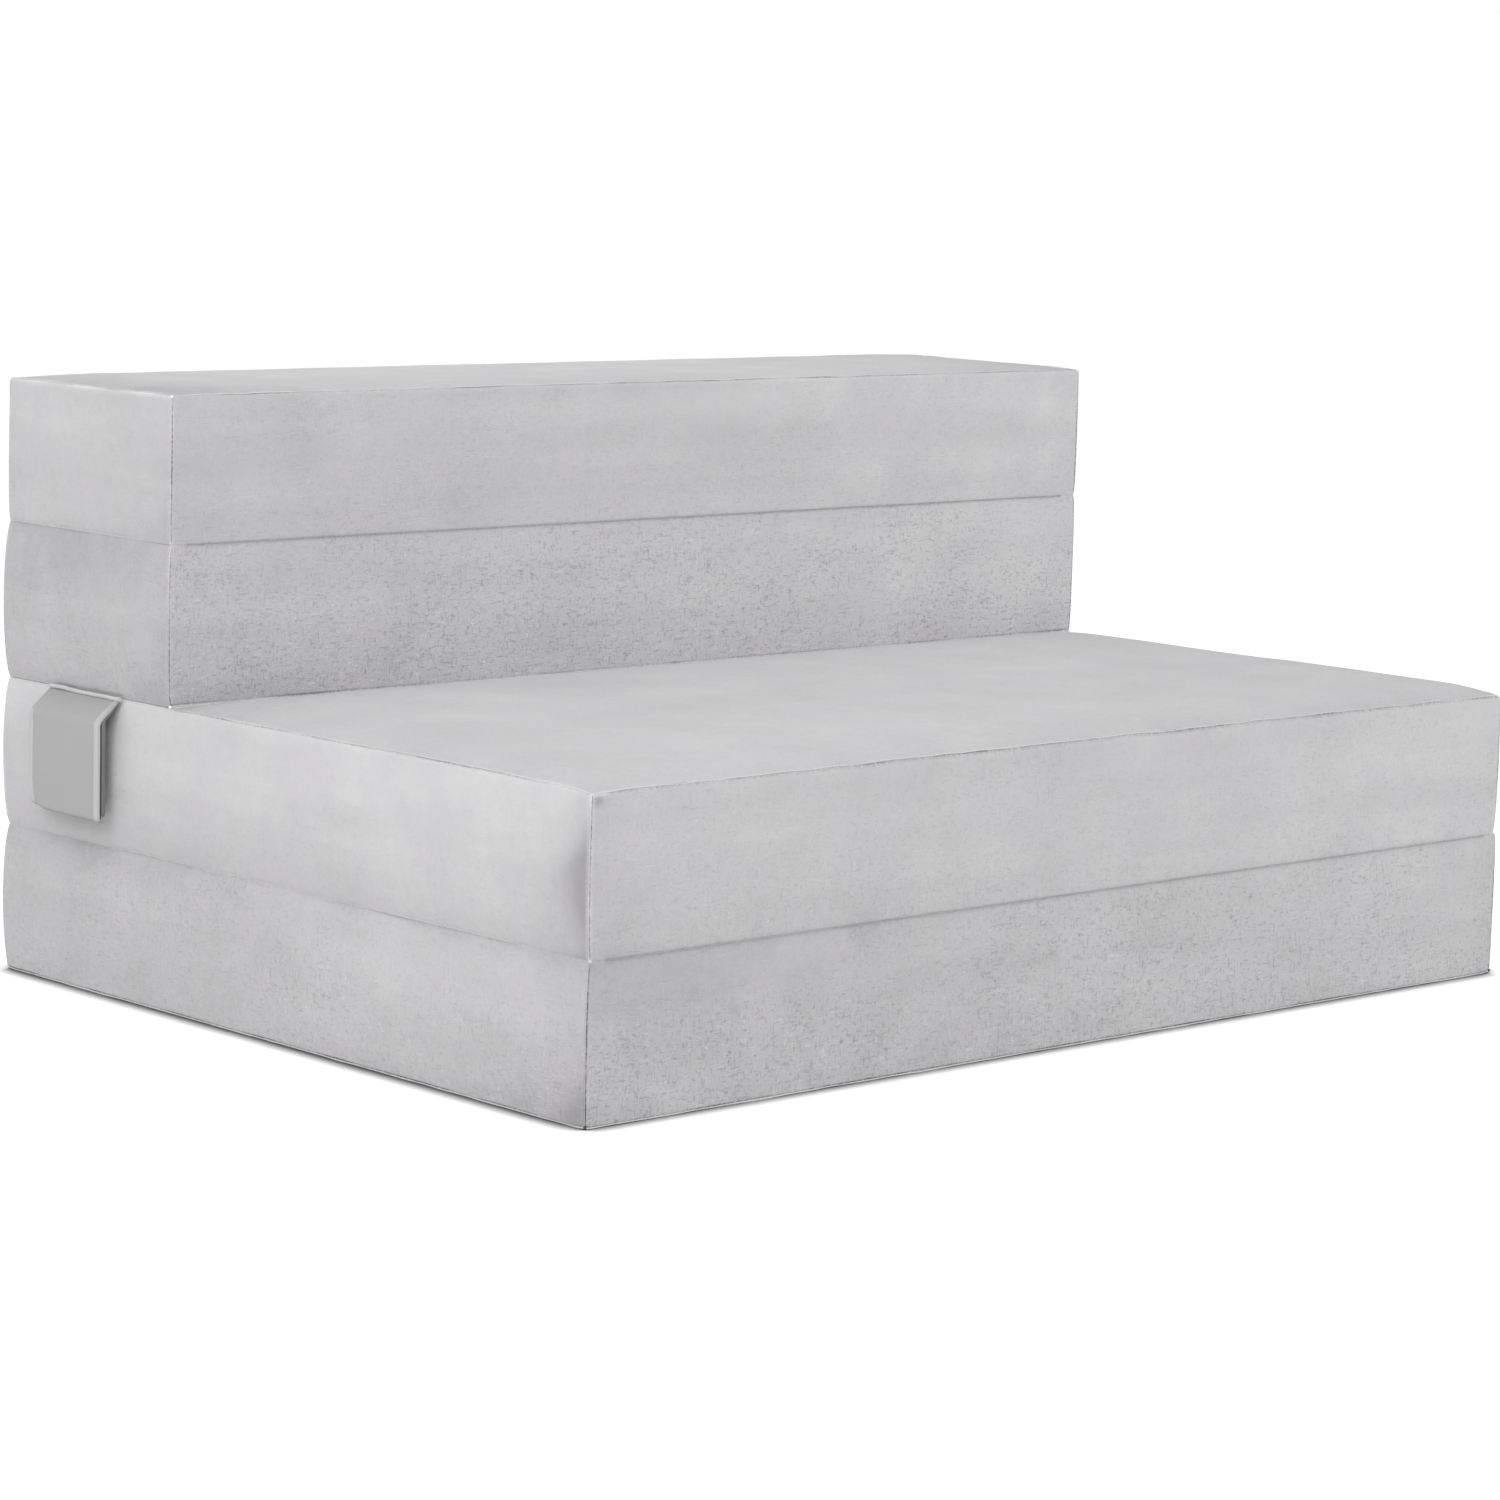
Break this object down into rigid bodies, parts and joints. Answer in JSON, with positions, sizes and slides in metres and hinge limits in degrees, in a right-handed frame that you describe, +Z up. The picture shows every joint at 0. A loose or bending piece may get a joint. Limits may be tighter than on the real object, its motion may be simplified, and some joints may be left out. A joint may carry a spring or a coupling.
{
  "type": "folding mattress",
  "caption": "Folding foam mattress stacked as a low sofa: deep seat panels below, narrow back panels above, fabric hinges, side zips and a cloth carry loop.",
  "frame": {"origin": "middle of the underside of the base panel, on the floor", "axes": "+X to the right along the front edge, +Y to the back, +Z up"},
  "size_m": [1.0043, 0.704, 0.4688],
  "materials": {
    "velour": "matte",
    "handle_cloth": "matte",
    "hinge_cloth": "matte",
    "liner": "matte",
    "support_foam": "matte",
    "comfort_foam": "matte",
    "zip_tape": "matte",
    "zip_metal": "satin"
  },
  "bodies": {
    "base": {"base_upper_cloth": "velour", "base_side_band": "velour", "base_lower_cloth": "velour", "base_liner": "liner", "base_support_foam": "support_foam", "base_comfort_foam": "comfort_foam", "base_zip": "zip_tape", "front_hinge_seam": "hinge_cloth"},
    "seat": {"seat_upper_cloth": "velour", "seat_side_band": "velour", "seat_lower_cloth": "velour", "seat_liner": "liner", "seat_support_foam": "support_foam", "seat_comfort_foam": "comfort_foam", "seat_zip": "zip_tape", "rear_hinge_seam": "hinge_cloth"},
    "lower_back": {"lower_back_upper_cloth": "velour", "lower_back_side_band": "velour", "lower_back_lower_cloth": "velour", "lower_back_liner": "liner", "lower_back_support_foam": "support_foam", "lower_back_comfort_foam": "comfort_foam", "lower_back_zip": "zip_tape", "back_hinge_seam": "hinge_cloth"},
    "upper_back": {"upper_back_upper_cloth": "velour", "upper_back_side_band": "velour", "upper_back_lower_cloth": "velour", "upper_back_liner": "liner", "upper_back_support_foam": "support_foam", "upper_back_comfort_foam": "comfort_foam", "upper_back_zip": "zip_tape"},
    "handle": {"carry_handle": "handle_cloth"},
    "base_slider": {"base_zip_slider": "zip_metal"},
    "base_pull": {"base_zip_pull": "zip_metal"},
    "seat_slider": {"seat_zip_slider": "zip_metal"},
    "seat_pull": {"seat_zip_pull": "zip_metal"},
    "lower_back_slider": {"lower_back_zip_slider": "zip_metal"},
    "lower_back_pull": {"lower_back_zip_pull": "zip_metal"},
    "upper_back_slider": {"upper_back_zip_slider": "zip_metal"},
    "upper_back_pull": {"upper_back_zip_pull": "zip_metal"}
  },
  "joints": [
    {"name": "seat_fold", "type": "hinge", "parent": "base", "child": "seat", "pos_m": [0, -0.3505, 0.1153], "axis": [1, 0, 0], "range_deg": [0, 180]},
    {"name": "lower_back_fold", "type": "hinge", "parent": "seat", "child": "lower_back", "pos_m": [0, 0.3505, 0.2309], "axis": [-1, 0, 0], "range_deg": [0, 180]},
    {"name": "upper_back_fold", "type": "hinge", "parent": "lower_back", "child": "upper_back", "pos_m": [0, 0.1335, 0.3525], "axis": [1, 0, 0], "range_deg": [0, 180]},
    {"name": "handle_swing", "type": "hinge", "parent": "seat", "child": "handle", "pos_m": [-0.4855, 0.239, 0.2309], "axis": [0, 1, 0], "range_deg": [0, 95]},
    {"name": "base_zip_travel", "type": "slide", "parent": "base", "child": "base_slider", "axis": [0, -1, 0], "range_m": [0, 0.636]},
    {"name": "base_pull_swing", "type": "hinge", "parent": "base_slider", "child": "base_pull", "pos_m": [0.4958, 0.318, 0.0575], "axis": [0, 0, 1], "range_deg": [0, 170]},
    {"name": "seat_zip_travel", "type": "slide", "parent": "seat", "child": "seat_slider", "axis": [0, -1, 0], "range_m": [0, 0.636]},
    {"name": "seat_pull_swing", "type": "hinge", "parent": "seat_slider", "child": "seat_pull", "pos_m": [0.4958, 0.318, 0.1731], "axis": [0, 0, 1], "range_deg": [0, 170]},
    {"name": "lower_back_zip_travel", "type": "slide", "parent": "lower_back", "child": "lower_back_slider", "axis": [0, -1, 0], "range_m": [0, 0.152]},
    {"name": "lower_back_pull_swing", "type": "hinge", "parent": "lower_back_slider", "child": "lower_back_pull", "pos_m": [0.4958, 0.318, 0.2917], "axis": [0, 0, 1], "range_deg": [0, 170]},
    {"name": "upper_back_zip_travel", "type": "slide", "parent": "upper_back", "child": "upper_back_slider", "axis": [0, -1, 0], "range_m": [0, 0.152]},
    {"name": "upper_back_pull_swing", "type": "hinge", "parent": "upper_back_slider", "child": "upper_back_pull", "pos_m": [0.4958, 0.318, 0.40855], "axis": [0, 0, 1], "range_deg": [0, 170]}
  ]
}
